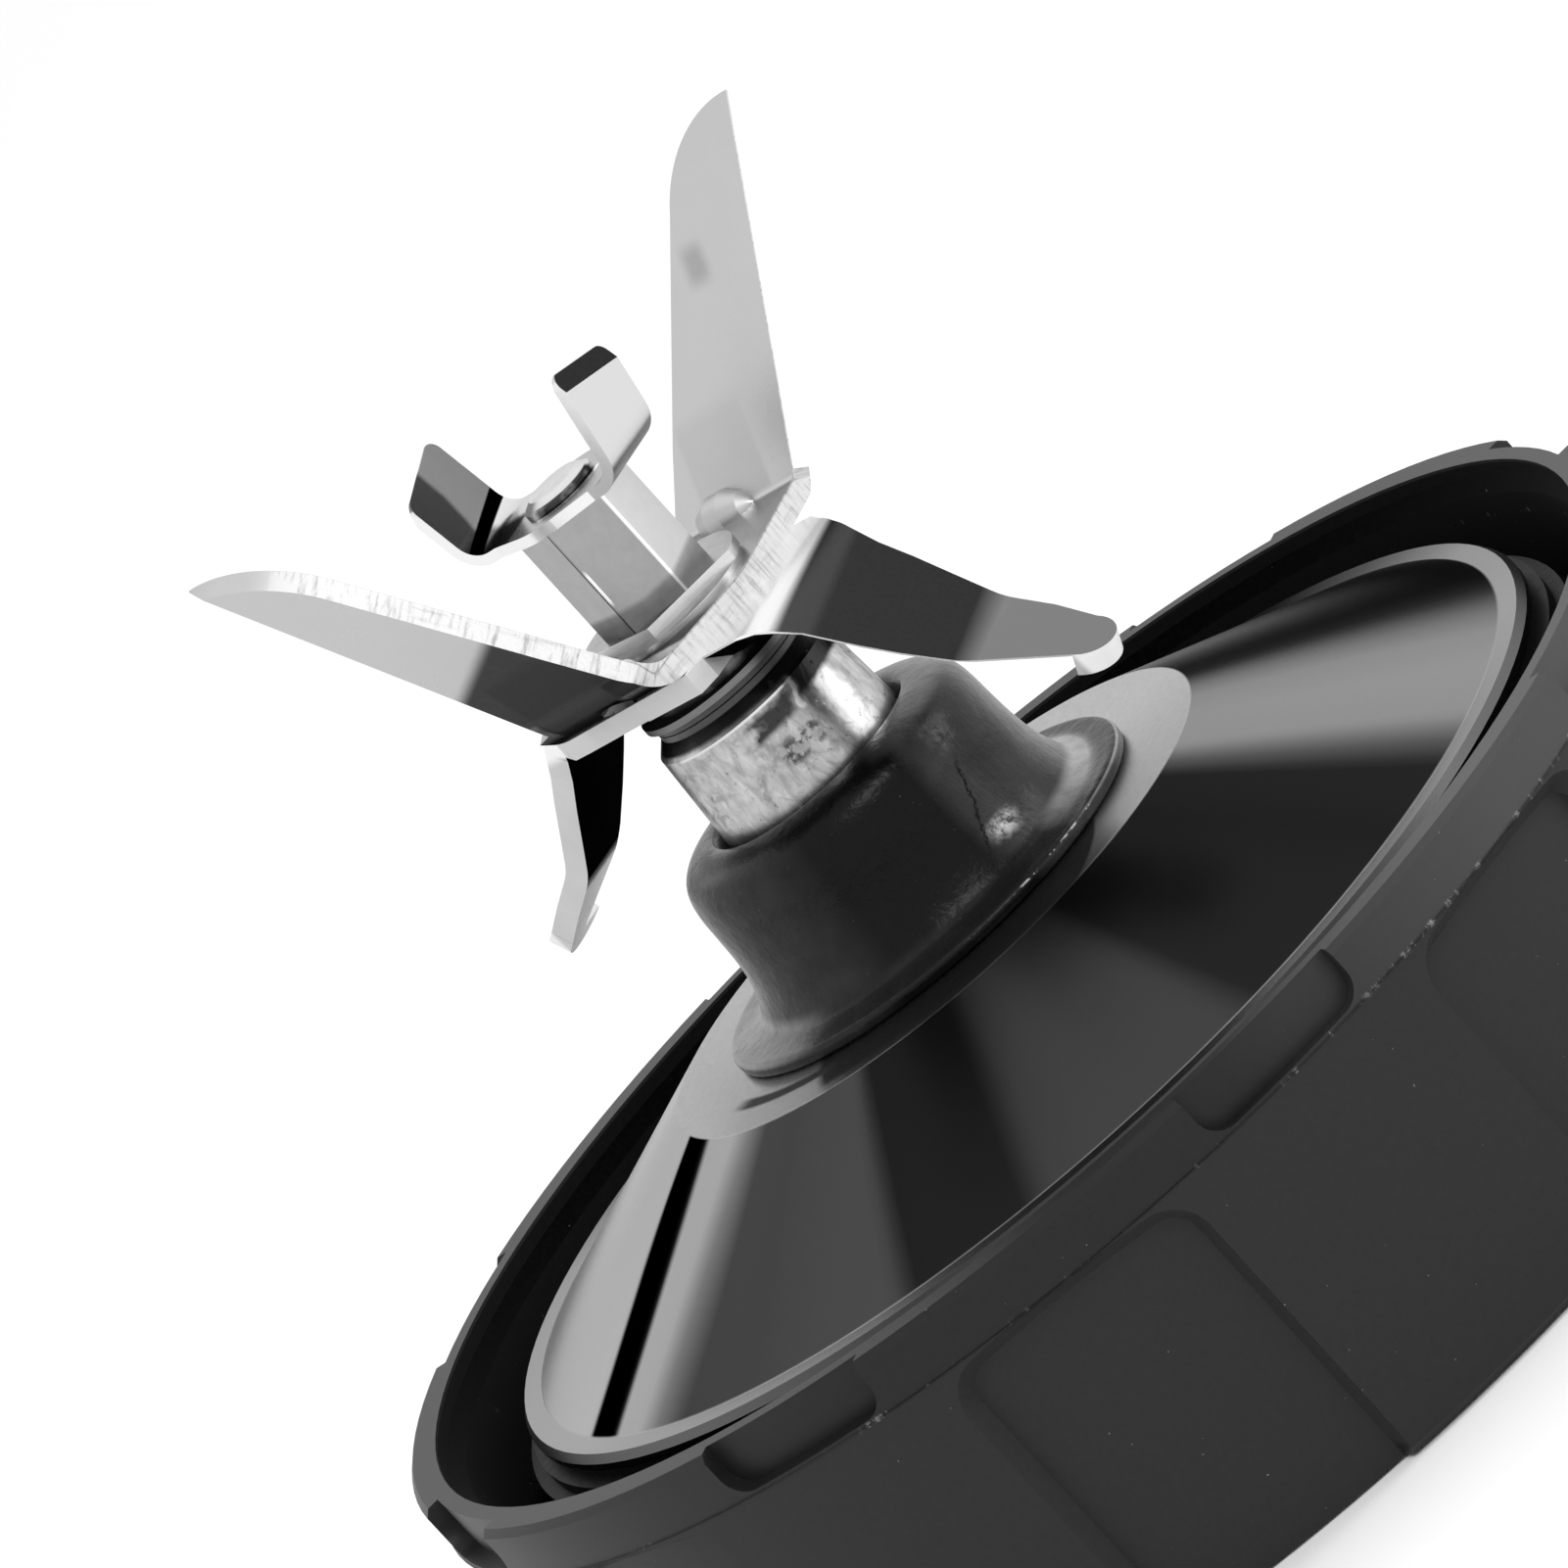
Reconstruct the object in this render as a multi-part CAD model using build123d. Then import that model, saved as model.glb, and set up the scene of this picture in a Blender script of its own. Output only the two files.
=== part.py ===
from build123d import *
from math import cos, radians, sin, sqrt, tan
import os

# Blade unit of a countertop blender: threaded jar collar, steel dish, sealed bearing and rotor.
# Frame: +Z up along the shaft, z = 0 at the collar's lower edge, +X along the main blade.

# Collar, the moulded ring that screws onto the jar
collar_height = 28.8
collar_r = 54.2
collar_edge = 0.6
lip_r = collar_r - 2.6          # inner edge of the top lip
lip_depth = 1.2
bore_r = collar_r - 3.4         # inside wall, above and below the web
notch_count = 8
notch_turn = 10.75              # first notch centre, degrees from +X
notch_width = 15.0              # degrees
notch_height = 3.8
notch_depth = 1.4
notch_corner = 1.9
seam_drop = 4.1                 # mould parting line below the top edge
seam_size = 0.15
panel_width = 22.0              # degrees, at the skin
panel_drop = 4.8                # top edge of a grip panel below the collar's top
panel_depth = 1.8
panel_bevel = 1.2
panel_corner = 2.9
web_top = 14.1                  # floor of the channel that takes the jar's mouth
web_thickness = 2.5
boss_r = bore_r - 4.2           # outside of the inner wall that carries the gasket
boss_wall = 5.1
web_inner_r = boss_r - boss_wall - 5.5
boss_top = 21.9
rib_width = 2.0
rib_height = 6.0

# Dish, a pressed steel cone that closes the jar's bottom
dish_r = boss_r - 1.76
dish_hem_r = dish_r + 0.46
dish_rim_z = 27.1
dish_band = 1.54                # flat band inside the rim
dish_sheet = 0.8
dish_hem = 1.1                  # height of the turned edge
plateau_r = 23.2
plateau_z = 35.9

# Gasket under the rim
gasket_flange_r = boss_r + 0.4
gasket_flange = 2.0
gasket_bead_r = boss_r - 0.6
gasket_bead = 0.8
gasket_neck_r = boss_r - 1.7

# Bearing housing, cast in one piece
bearing_top = 57.0
bearing_lip_r = 6.36
bearing_top_r = 7.26
bearing_chamfer = 1.0
bearing_low_r = 7.9
bearing_shoulder_z = 46.0
bearing_body_r = 10.0
bearing_flange_r = 11.5
bearing_flange = 1.7
neck_r = 9.0
neck_bottom = 25.0
bushing_r = 5.6
bushing_length = 7.0
lower_bushing_inset = 2.6
seal_length = 2.2

# Rubber boot over the housing
boot_foot_r = 17.48
boot_foot = 1.1
boot_under_flange = 0.8
boot_flare = ((14.0, 37.6), (12.85, 41.2))
boot_crown = ((12.5, 46.7), (11.6, 48.1), (9.4, 49.2))
boot_mouth_r = 8.15
boot_top = 49.2

# Nut and washer under the dish
nut_across_flats = 24.0
nut_height = 6.0
nut_washer_r = 14.0
nut_washer = 0.8

# Shaft
shaft_r = 4.0
shaft_flat = 3.0                # distance of each flat from the axis
shoulder_r = 5.4
shoulder = 1.5
tenon_r = 2.4
head_r = 2.9
head = 0.85
shaft_bottom = 14.0

# Washers between the bearing and the shoulder
wear_washer_r = 6.25
wear_washer = 0.5
seat_washer_r = 6.75
seat_washer = 0.5

# Main blade: a plate with a wing bent up at each end, +X end first in each pair
blade_sheet = 1.7
main_hub_r = 7.8
main_bend_at = (12.0, 10.7)     # where plate and wing meet, on the inner face
main_bend_angle = (60.0, 70.0)
main_bend_r = (1.7, 4.85)       # radius of the sheet's middle
main_front_inset = (0.0, 0.8)   # how much narrower the cutting side is
main_half_back = 5.6            # beside the bends
main_half_front = 6.4
main_tip = (26.0, -13.0)        # along the wing from the bend, and across
main_front_break = (6.1, 4.1)
main_nose_start = (20.5, -3.8)
main_nose_middle = (24.55, -7.4)
main_grind_start = 0.6          # where the cutting edge begins, along the wing
main_grind = 1.9                # how far it is ground back on the outer face
edge_land = 0.15                # sheet left at a ground edge
gusset_centre = 1.45            # of the press mark in a bend, across the wing
gusset_half = 2.9               # half its length, along the bend
gusset_rise = 1.75              # its radius about the bend line
gusset_dent = 0.6               # size of the hollow behind it, as a share

# Lower blade: a plate with two drooping wings
lower_fall = (46.3, 29.2)       # slope of the wing's two parts, degrees
lower_bend_at = (11.44, 20.97)  # middle of the sheet, from the axis
lower_bend_r = (3.0, 7.0)
lower_reach = 34.0              # blank, before the outline is cut
lower_root = 6.6                # where a wing's own outline begins
lower_hub = ((0, -8.5), (5.9, -8.8), (6.6, -7.2), (6.6, 8.2), (0, 8.3))
# outline of a wing in the flat blank: distance along it, and across; cutting side, then back
lower_cut = (
    (6.6, 7.15), (10.1, 7.25), (11.4, 7.1), (12.6, 6.65), (14.2, 6.05), (18.2, 5.6),
    (21.0, 5.15), (24.0, 4.45), (26.1, 4.1), (33.2, 2.95),
)
lower_back = (
    (6.6, 8.2), (8.2, 8.1), (10.1, 6.7), (11.4, 5.85), (12.6, 5.35), (15.0, 4.75), (17.8, 4.4),
    (21.0, 3.85), (24.0, 3.35), (26.1, 3.05), (29.5, 2.5), (33.2, 1.45),
)
lower_nose = ((33.1, -2.97), (35.4, -0.6), (33.1, 1.47))
lower_grind = 2.3               # how far the cutting edge is ground back underneath

# Top blade: a small plate with two upright wings
top_sheet = 0.85
top_hub_r = 4.9
top_bend_at = 7.0
top_bend_angle = 78.0
top_bend_r = 2.2
top_edges = (-3.6, 3.4)         # across the wing
top_heights = ((8.1, 6.4), (7.3, 5.6))   # at those edges, for each wing
top_corner = 0.9
top_grind = 1.3                 # how far the cutting edge is ground down the outer face
top_turn = -85.0                # degrees from the main blade

# Clamping parts of the stack
lock_washer_r = 6.6
lock_washer = 0.4
flange_washer_r = 6.75
flange_washer = 0.8
flange_flat = 4.4               # distance of its two flats from the axis
flange_flat_turns = (-125.0, 172.0)
spacer_r = 4.62                 # over the corners
spacer_length = 9.25
spacer_turn = 10.0

# Drive below the nut
coupling_r = 10.5
coupling_neck_r = 7.5
coupling_top = 23.0
coupling_shoulder = 17.5
coupling_bottom = 3.5
socket_across_flats = 9.6
socket_depth = 8.5
pin_r = 1.25
pin_z = 20.2
clip_r = 6.2
clip_bore_r = 3.5
clip = 0.6
clip_gap = 3.4
drive_washer_r = 6.6
drive_washer = 0.5

# Clearances
running = 0.04                  # shaft in its bushings and seal
seated = 0.06                   # a piece slipped onto another that moves with it
passing = 0.4                   # shaft through a standing piece that does not guide it
axial = 0.1                     # end float between turning and standing faces

# Heights that follow from the sizes above
boot_flange_z = plateau_z + boot_under_flange
wear_z = bearing_top
thrust_z = wear_z + wear_washer + axial
seat_z = thrust_z + wear_washer
shoulder_z = seat_z + seat_washer
lower_blade_z = shoulder_z + shoulder
main_blade_z = lower_blade_z + blade_sheet
lock_z = main_blade_z + blade_sheet
flange_z = lock_z + lock_washer
spacer_z = flange_z + flange_washer
top_blade_z = spacer_z + spacer_length
head_z = top_blade_z + top_sheet
drive_washer_z = neck_bottom - axial - drive_washer
clip_z = drive_washer_z - axial - clip


def ring(outer, inner, bottom, height):
    """A plain ring standing on its lower face."""
    face = Circle(outer) - Circle(inner)
    return Pos(0, 0, bottom) * extrude(face, height)


def rod(radius, bottom, height):
    """A plain round bar standing on its lower face."""
    return Pos(0, 0, bottom) * extrude(Circle(radius), height)


def spun(*outline):
    """A solid turned about the shaft axis from (radius, height) corners."""
    corners = [(r, 0, z) for r, z in outline]
    wire = Polyline(*corners, close=True)
    return revolve(make_face(wire), Axis.Z, 360)


def flatted(radius, flat, bottom, height):
    """A round bar with two flats that face +Y and -Y."""
    face = Circle(radius) & Rectangle(2 * radius, 2 * flat)
    return Pos(0, 0, bottom) * extrude(face, height)


def shaft_hole(bottom, height):
    """The double-D hole that a blade or washer has for the shaft."""
    return flatted(shaft_r + seated, shaft_flat + seated, bottom, height)


def around(count, turn, item):
    """Copies of a solid, evenly spaced about the shaft axis."""
    step = 360 / count
    return [Rot(0, 0, turn + step * k) * item for k in range(count)]


def chord(radius, degrees):
    """Straight width of an arc."""
    return 2 * radius * sin(radians(degrees / 2))


def window(width, height, corner, low):
    """An upright rectangle with two rounded corners, its lower or its upper pair."""
    face = Rectangle(width, height)
    corners = face.vertices().sort_by(Axis.Y)
    chosen = corners[:2] if low else corners[2:]
    return fillet(chosen, corner)


def make_notch():
    """One notch of the top lip, as the solid to cut away."""
    opening = window(chord(collar_r, notch_width), 2 * notch_height, notch_corner, True)
    block = extrude(Plane.YZ * opening, 2 * collar_r)
    skin = ring(collar_r + 1, collar_r - notch_depth, -2 * notch_height, 4 * notch_height)
    return Pos(0, 0, collar_height) * (block & skin)


def make_panel():
    """One sunk grip panel with sloping sides, as the solid to cut away."""
    height = 2 * (collar_height - panel_drop)
    wide = chord(collar_r, panel_width)
    at_skin = collar_r * cos(radians(panel_width / 2))
    at_floor = at_skin - panel_depth
    beyond = 3.0
    grow = beyond * panel_bevel / panel_depth
    low_face = window(wide - 2 * panel_bevel, height - 2 * panel_bevel, panel_corner - panel_bevel, False)
    high_face = window(wide + 2 * grow, height + 2 * grow, panel_corner + grow, False)
    low_plane = Plane.YZ.offset(at_floor)
    high_plane = Plane.YZ.offset(at_skin + beyond)
    sloped = loft([low_plane * low_face, high_plane * high_face], ruled=True)
    straight = extrude(Plane.YZ.offset(at_floor - beyond) * low_face, beyond)
    skin = ring(collar_r + 1, collar_r - panel_depth, -height, 2 * height)
    return (sloped + straight) & skin


def make_collar():
    boss_inner = boss_r - boss_wall
    web_under = web_top - web_thickness
    collar = spun(
        (bore_r, collar_edge), (bore_r + collar_edge, 0),
        (collar_r - collar_edge, 0), (collar_r, collar_edge),
        (collar_r, collar_height - 0.5), (collar_r - 0.5, collar_height),
        (lip_r, collar_height), (lip_r, collar_height - lip_depth),
        (bore_r, collar_height - 2 * lip_depth),
        (bore_r, web_top), (boss_r, web_top), (boss_r, boss_top - 0.4),
        (boss_r - 0.4, boss_top), (boss_inner, boss_top),
        (boss_inner, web_top), (web_inner_r, web_top),
        (web_inner_r, web_under), (bore_r, web_under),
    )
    seam_z = collar_height - seam_drop
    collar += spun(
        (collar_r - seam_size, seam_z - seam_size),
        (collar_r + seam_size, seam_z),
        (collar_r - seam_size, seam_z + seam_size),
    )
    half_step = 180 / notch_count
    collar -= around(notch_count, notch_turn, make_notch())
    collar -= around(notch_count, notch_turn + half_step, make_panel())

    rib_start = web_inner_r + 1.0
    rib_end = bore_r + 0.3
    rib = Box(rib_end - rib_start, rib_width, rib_height)
    rib = Pos((rib_start + rib_end) / 2, 0, web_under - rib_height / 2) * rib
    collar += around(notch_count, notch_turn, rib)
    return collar


def make_dish():
    """Pressed dish; the inner face is the outer one moved by the sheet's thickness."""
    band_in = dish_r - dish_band
    slope = (plateau_z - dish_rim_z) / (band_in - plateau_r)
    shift = (sqrt(1 + slope * slope) - 1) * dish_sheet / slope
    hole = neck_r + seated
    under_rim = dish_rim_z - dish_sheet
    under_plateau = plateau_z - dish_sheet
    hem_bottom = dish_rim_z - dish_hem
    return spun(
        (hole, under_plateau), (plateau_r - shift, under_plateau),
        (band_in - shift, under_rim), (dish_r - dish_sheet, under_rim),
        (dish_r - dish_sheet, hem_bottom), (dish_hem_r, hem_bottom),
        (dish_hem_r, hem_bottom + dish_hem / 2), (dish_r, dish_rim_z),
        (band_in, dish_rim_z), (plateau_r, plateau_z), (hole, plateau_z),
    )


def make_gasket():
    inner = boss_r - boss_wall
    top = dish_rim_z - dish_hem
    flange_top = boss_top + gasket_flange
    bead_low = flange_top + 0.3
    bead_high = bead_low + gasket_bead
    return spun(
        (inner, boss_top), (gasket_flange_r, boss_top), (gasket_flange_r, flange_top),
        (gasket_neck_r, flange_top), (gasket_neck_r, bead_low), (gasket_bead_r, bead_low),
        (gasket_bead_r, bead_high), (gasket_neck_r, bead_high), (gasket_neck_r, top), (inner, top),
    )


def make_housing():
    flange_top = boot_flange_z + bearing_flange
    upper_z = bearing_top - seal_length - bushing_length
    lower_top = neck_bottom + lower_bushing_inset + bushing_length
    relief = shaft_r + passing
    return spun(
        (bushing_r, neck_bottom), (neck_r - 0.6, neck_bottom), (neck_r, neck_bottom + 0.6),
        (neck_r, boot_flange_z), (bearing_flange_r, boot_flange_z),
        (bearing_flange_r, flange_top), (bearing_body_r, flange_top),
        (bearing_body_r, bearing_shoulder_z), (bearing_low_r, bearing_shoulder_z),
        (bearing_top_r, bearing_top - bearing_chamfer), (bearing_lip_r, bearing_top),
        (bushing_r, bearing_top), (bushing_r, upper_z), (relief, upper_z),
        (relief, lower_top), (bushing_r, lower_top),
    )


def make_bushing(bottom):
    return ring(bushing_r - seated, shaft_r + running, bottom, bushing_length)


def make_seal():
    """Lip seal: a stiff outer wall and a thin lip that leans in to the shaft."""
    low = bearing_top - seal_length
    top = bearing_top - axial
    outer = bushing_r - seated
    lip = shaft_r + running
    return spun(
        (lip, low + 0.8), (lip + 0.4, low), (outer, low), (outer, top),
        (outer - 0.5, top), (outer - 0.6, low + 0.9), (lip, low + 1.3),
    )


def make_boot():
    flange_top = boot_flange_z + bearing_flange + seated
    inner_flange = bearing_flange_r + seated
    inner_body = bearing_body_r + seated
    neck = neck_r + seated
    cavity_top = bearing_shoulder_z + seated
    foot_top = plateau_z + boot_foot
    outline = [
        (neck, plateau_z), (boot_foot_r - 0.2, plateau_z),
        (boot_foot_r, foot_top - 0.35), (boot_foot_r - 0.4, foot_top),
    ]
    outline += list(boot_flare)
    outline += list(boot_crown)
    outline += [
        (boot_mouth_r, boot_top), (boot_mouth_r, cavity_top), (inner_body, cavity_top),
        (inner_body, flange_top), (inner_flange, flange_top),
        (inner_flange, boot_flange_z), (neck, boot_flange_z),
    ]
    return spun(*outline)


def make_nut():
    """Hexagon nut with its corners turned off at the lower face."""
    bottom = plateau_z - dish_sheet - nut_washer - nut_height
    corner_r = nut_across_flats / sqrt(3)
    hexagon = extrude(RegularPolygon(corner_r, 6), nut_height)
    turned = spun(
        (0, 0), (corner_r - 1.2, 0), (corner_r + 0.1, 0.75), (corner_r + 0.1, nut_height), (0, nut_height),
    )
    nut = Pos(0, 0, bottom) * (hexagon & turned)
    return nut - rod(neck_r + seated, bottom, nut_height)


def make_shaft():
    shaft = rod(shaft_r, shaft_bottom, shoulder_z - shaft_bottom)
    shaft = chamfer(shaft.edges().group_by(Axis.Z)[0], 0.5)
    shaft += rod(shoulder_r, shoulder_z, shoulder)
    shaft += flatted(shaft_r, shaft_flat, lower_blade_z, spacer_z - lower_blade_z)
    shaft += rod(tenon_r, spacer_z, head_z - spacer_z)
    shaft += spun(
        (0, head_z), (head_r, head_z), (head_r, head_z + 0.4 * head),
        (head_r - 0.8, head_z + head), (0, head_z + head),
    )
    shaft -= ring(shaft_r + 1, clip_bore_r - seated, clip_z - seated, clip + 2 * seated)
    cross = Rot(0, 90, 0) * Cylinder(pin_r + seated, 4 * shaft_r)
    return shaft - Pos(0, 0, pin_z) * cross


def bent_strip(points, radii, thickness, half_width):
    """A strip bent in the XZ plane: its middle line, bend radii, thickness and half width."""
    line = FilletPolyline(*points, radius=radii)
    face = trace(line, thickness)
    return extrude(Plane.XZ * face, half_width, both=True)


def bevelled(sheet, width):
    """Section to cut away at a ground edge: the edge at the origin, the sheet at -X and +Y of it."""
    beyond = 1.5
    deep = sheet + beyond
    reach = width * (deep - edge_land) / (sheet - edge_land)
    return [(0, -beyond), (0, edge_land), (-reach, deep), (12, deep), (12, -beyond)]


def straight_grind(start, end, inset, sheet, width):
    """What grinding takes off a straight edge of a flat face; the sheet lies behind the XY plane."""
    edge = Line(start, end)
    along = edge.tangent_at(0)
    outward = Vector(along.Y, -along.X, 0)
    section = make_face(Polyline(*bevelled(sheet, width), close=True))
    plane = Plane(origin=edge @ 0 + along * inset, x_dir=outward, z_dir=along)
    return extrude(plane * section, 2 * edge.length)


def polar(start, degrees, length):
    """The point a given way from another, in the XZ plane."""
    return (start[0] + length * cos(radians(degrees)), start[1] + length * sin(radians(degrees)))


def main_wing_outline(front_inset):
    """Flat outline of one wing: x along it from the bend, y across it."""
    front = main_half_front - front_inset
    at_break = (main_front_break[0], main_front_break[1] - front_inset)
    root = -2 * main_bend_at[0]
    lines = Polyline(main_tip, (0, -main_half_back), (root, -main_half_back))
    lines += Polyline((root, -main_half_back), (root, front), (1.5, front), at_break, main_nose_start)
    lines += ThreePointArc(main_nose_start, main_nose_middle, main_tip)
    return make_face(lines)


def main_wing_plane(side):
    """Plane of a wing's inner face: x along the wing, y across it, z towards the shaft axis."""
    angle = radians(main_bend_angle[side])
    sign = 1 if side == 0 else -1
    origin = (sign * main_bend_at[side], 0, main_blade_z + blade_sheet)
    along = (sign * cos(angle), 0, sin(angle))
    inward = (-sign * sin(angle), 0, cos(angle))
    return Plane(origin=origin, x_dir=along, z_dir=inward)


def main_wing(side, strip, start):
    """One wing: the strip beyond the bend's start, cut to its outline, with a ground edge."""
    plane = main_wing_plane(side)
    outline = main_wing_outline(main_front_inset[side])
    reach = 4 * main_tip[0]
    middle = start + reach / 2 if side == 0 else -start - reach / 2
    keep = Pos(middle, 0, main_blade_z) * Box(reach, reach, 2 * reach)
    wing = strip & keep & extrude(plane * outline, 6 * blade_sheet, both=True)
    edge_start = (0, -main_half_back)
    ground = straight_grind(edge_start, main_tip, main_grind_start, blade_sheet, main_grind)
    return wing - plane * ground


def gusset(side, share):
    """A press mark that bridges a bend; share scales it for the hollow behind."""
    half = main_bend_angle[side] / 2
    sign = 1 if side == 0 else -1
    length = gusset_half * share
    rise = gusset_rise * share
    profile = Polyline(
        (0, -length), (0.62 * rise, -0.72 * length), (rise, -0.25 * length),
        (rise, 0.25 * length), (0.62 * rise, 0.72 * length), (0, length), close=True,
    )
    spindle = Rot(0, 90, 0) * revolve(make_face(profile), Axis.Y, 360)
    stand = (main_bend_r[side] - blade_sheet / 2) * (1 / cos(radians(half)) - 1)
    if share < 1:
        stand -= blade_sheet
    x = sign * (main_bend_at[side] - stand * sin(radians(half)))
    z = main_blade_z + blade_sheet + stand * cos(radians(half))
    mark = Pos(x, sign * gusset_centre, z) * spindle
    if share < 1:
        return mark
    size = 8 * gusset_half
    half_space = Pos(0, 0, size / 2 - blade_sheet / 2) * Box(size, size, size)
    above_plate = Pos(x, 0, main_blade_z + blade_sheet) * half_space
    return mark & above_plate & (main_wing_plane(side) * half_space)


def make_main_blade():
    middle_z = main_blade_z + blade_sheet / 2
    half_turn = [tan(radians(a / 2)) for a in main_bend_angle]
    out = [at + blade_sheet / 2 * t for at, t in zip(main_bend_at, half_turn)]
    start = [x - r * t for x, r, t in zip(out, main_bend_r, half_turn)]
    right = (out[0], middle_z)
    left = (-out[1], middle_z)
    length = main_tip[0] + 4
    points = [
        polar(left, 180 - main_bend_angle[1], length), left,
        right, polar(right, main_bend_angle[0], length),
    ]
    radii = [main_bend_r[1], main_bend_r[0]]
    strip = bent_strip(points, radii, blade_sheet, 2 * main_half_front + 4)
    narrow_front = main_half_front - main_front_inset[1]
    hub = Circle(main_hub_r)
    arms = Polyline(
        (start[0], -main_half_back), (start[0], main_half_front),
        (-start[1], main_half_back), (-start[1], -narrow_front), close=True,
    )
    plate = make_hull(hub.edges() + arms.edges())
    blade = Pos(0, 0, main_blade_z) * extrude(plate, blade_sheet)
    for side in (0, 1):
        blade += main_wing(side, strip, start[side])
        blade += gusset(side, 1)
        blade -= gusset(side, gusset_dent)
    return blade - shaft_hole(main_blade_z - 1, blade_sheet + 2)


def along_strip(line, stations, section):
    """A solid that follows a bent strip: at each station (along, across) it has the same section."""
    faces = []
    for along, across in stations:
        point = line.position_at(line.length / 2 + along, position_mode=PositionMode.LENGTH)
        tangent = line.tangent_at(line.length / 2 + along, position_mode=PositionMode.LENGTH)
        plane = Plane(origin=point + Vector(0, across, 0), x_dir=(0, 1, 0), z_dir=tangent)
        faces.append(plane * make_face(Polyline(*section, close=True)))
    return loft(faces, ruled=True)


def make_lower_blade():
    middle_z = lower_blade_z + blade_sheet / 2
    first, second = lower_bend_at
    drop_one = (second - first) * tan(radians(lower_fall[0]))
    drop_two = drop_one + (lower_reach - second) * tan(radians(lower_fall[1]))
    side = [(first, middle_z), (second, middle_z - drop_one), (lower_reach, middle_z - drop_two)]
    points = [(-x, z) for x, z in reversed(side)] + side
    radii = [lower_bend_r[1], lower_bend_r[0], lower_bend_r[0], lower_bend_r[1]]
    strip = bent_strip(points, radii, blade_sheet, 9)
    line = FilletPolyline(*[(x, 0, z) for x, z in points], radius=radii)

    beyond = blade_sheet + 1.5
    square = [(0, -beyond), (10, -beyond), (10, beyond), (0, beyond)]
    ground = [(-x, blade_sheet / 2 - y) for x, y in bevelled(blade_sheet, lower_grind)]
    start, end = lower_root, lower_nose[0][0]
    tip = line.position_at(line.length / 2 + end, position_mode=PositionMode.LENGTH)
    tangent = line.tangent_at(line.length / 2 + end, position_mode=PositionMode.LENGTH)
    nose = [(x - end, y) for x, y in lower_nose]
    outside = ThreePointArc(*nose)
    outside += Polyline(nose[2], (0, 12), (12, 12), (12, -12), (0, -12), nose[0])
    flat = Plane(origin=tip, x_dir=tangent, z_dir=tangent.cross(Vector(0, 1, 0)))

    wing = strip & Pos(start + lower_reach / 2, 0, middle_z) * Box(lower_reach, 40, 80)
    wing -= along_strip(line, lower_back, square)
    wing -= along_strip(line, [(x, -y) for x, y in lower_cut], ground)
    wing -= extrude(flat * make_face(outside), 4 * blade_sheet, both=True)
    hub = make_face(Polyline(*lower_hub, close=True))
    blade = Pos(0, 0, lower_blade_z) * extrude(hub + Rot(0, 0, 180) * hub, blade_sheet)
    blade += [wing, Rot(0, 0, 180) * wing]
    return Rot(0, 0, -90) * blade - shaft_hole(lower_blade_z - 1, blade_sheet + 2)


def top_wing(strip, heights):
    """One wing of the small blade: rounded corners and a cutting edge ground on its top."""
    near, far = top_edges
    floor = top_blade_z - 1
    inner_z = top_blade_z + top_sheet
    side_view = make_face(Polyline(
        (near, floor), (far, floor), (far, inner_z + heights[1]),
        (near, inner_z + heights[0]), close=True,
    ))
    side_view = fillet(side_view.vertices().group_by(Axis.Y)[-1], top_corner)
    side_view = fillet(side_view.vertices().sort_by(Axis.X)[-1], top_corner)
    wing = strip & extrude(Plane.YZ * side_view, 4 * top_bend_at)
    angle = radians(top_bend_angle)
    plane = Plane(
        origin=(top_bend_at, 0, inner_z), x_dir=(cos(angle), 0, sin(angle)),
        z_dir=(-sin(angle), 0, cos(angle)),
    )
    high_near, high_far = (h / sin(angle) for h in heights)
    return wing - plane * straight_grind((high_near, near), (high_far, far), -5, top_sheet, top_grind)


def make_top_blade():
    middle_z = top_blade_z + top_sheet / 2
    out = top_bend_at + top_sheet / 2 * tan(radians(top_bend_angle / 2))
    rise = polar((out, middle_z), top_bend_angle, max(top_heights[0]) + 3)
    strip = bent_strip([(0, middle_z), (out, middle_z), rise], top_bend_r, top_sheet, 6)
    root = top_bend_at - top_bend_r
    near, far = top_edges
    sides = Polyline((root, near), (root, far), (-root, -near), (-root, -far), close=True)
    plate = make_hull(Circle(top_hub_r).edges() + sides.edges())
    blade = Pos(0, 0, top_blade_z) * extrude(plate, top_sheet)
    keep = Pos(root + top_bend_at, 0, top_blade_z) * Box(2 * top_bend_at, 20, 40)
    for turn, heights in zip((0, 180), top_heights):
        blade += Rot(0, 0, turn) * (top_wing(strip, heights) & keep)
    blade -= rod(tenon_r + seated, top_blade_z - 1, top_sheet + 2)
    return Rot(0, 0, top_turn) * blade


def make_flange_washer():
    washer = rod(flange_washer_r, flange_z, flange_washer)
    beyond = 2 * flange_washer_r
    cut = Pos(flange_flat + beyond / 2, 0, flange_z) * Box(beyond, 2 * beyond, 4 * flange_washer)
    for turn in flange_flat_turns:
        washer -= Rot(0, 0, turn) * cut
    return washer - shaft_hole(flange_z - 1, flange_washer + 2)


def make_spacer():
    hexagon = extrude(RegularPolygon(spacer_r, 6), spacer_length)
    spacer = Pos(0, 0, spacer_z) * Rot(0, 0, spacer_turn) * hexagon
    return spacer - rod(tenon_r + seated, spacer_z - 1, spacer_length + 2)


def make_clip():
    """Open retaining ring that snaps into the shaft's groove."""
    gap = Pos(clip_r, 0, clip_z) * Box(2 * clip_r, clip_gap, 4 * clip)
    return ring(clip_r, clip_bore_r, clip_z, clip) - gap


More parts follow.
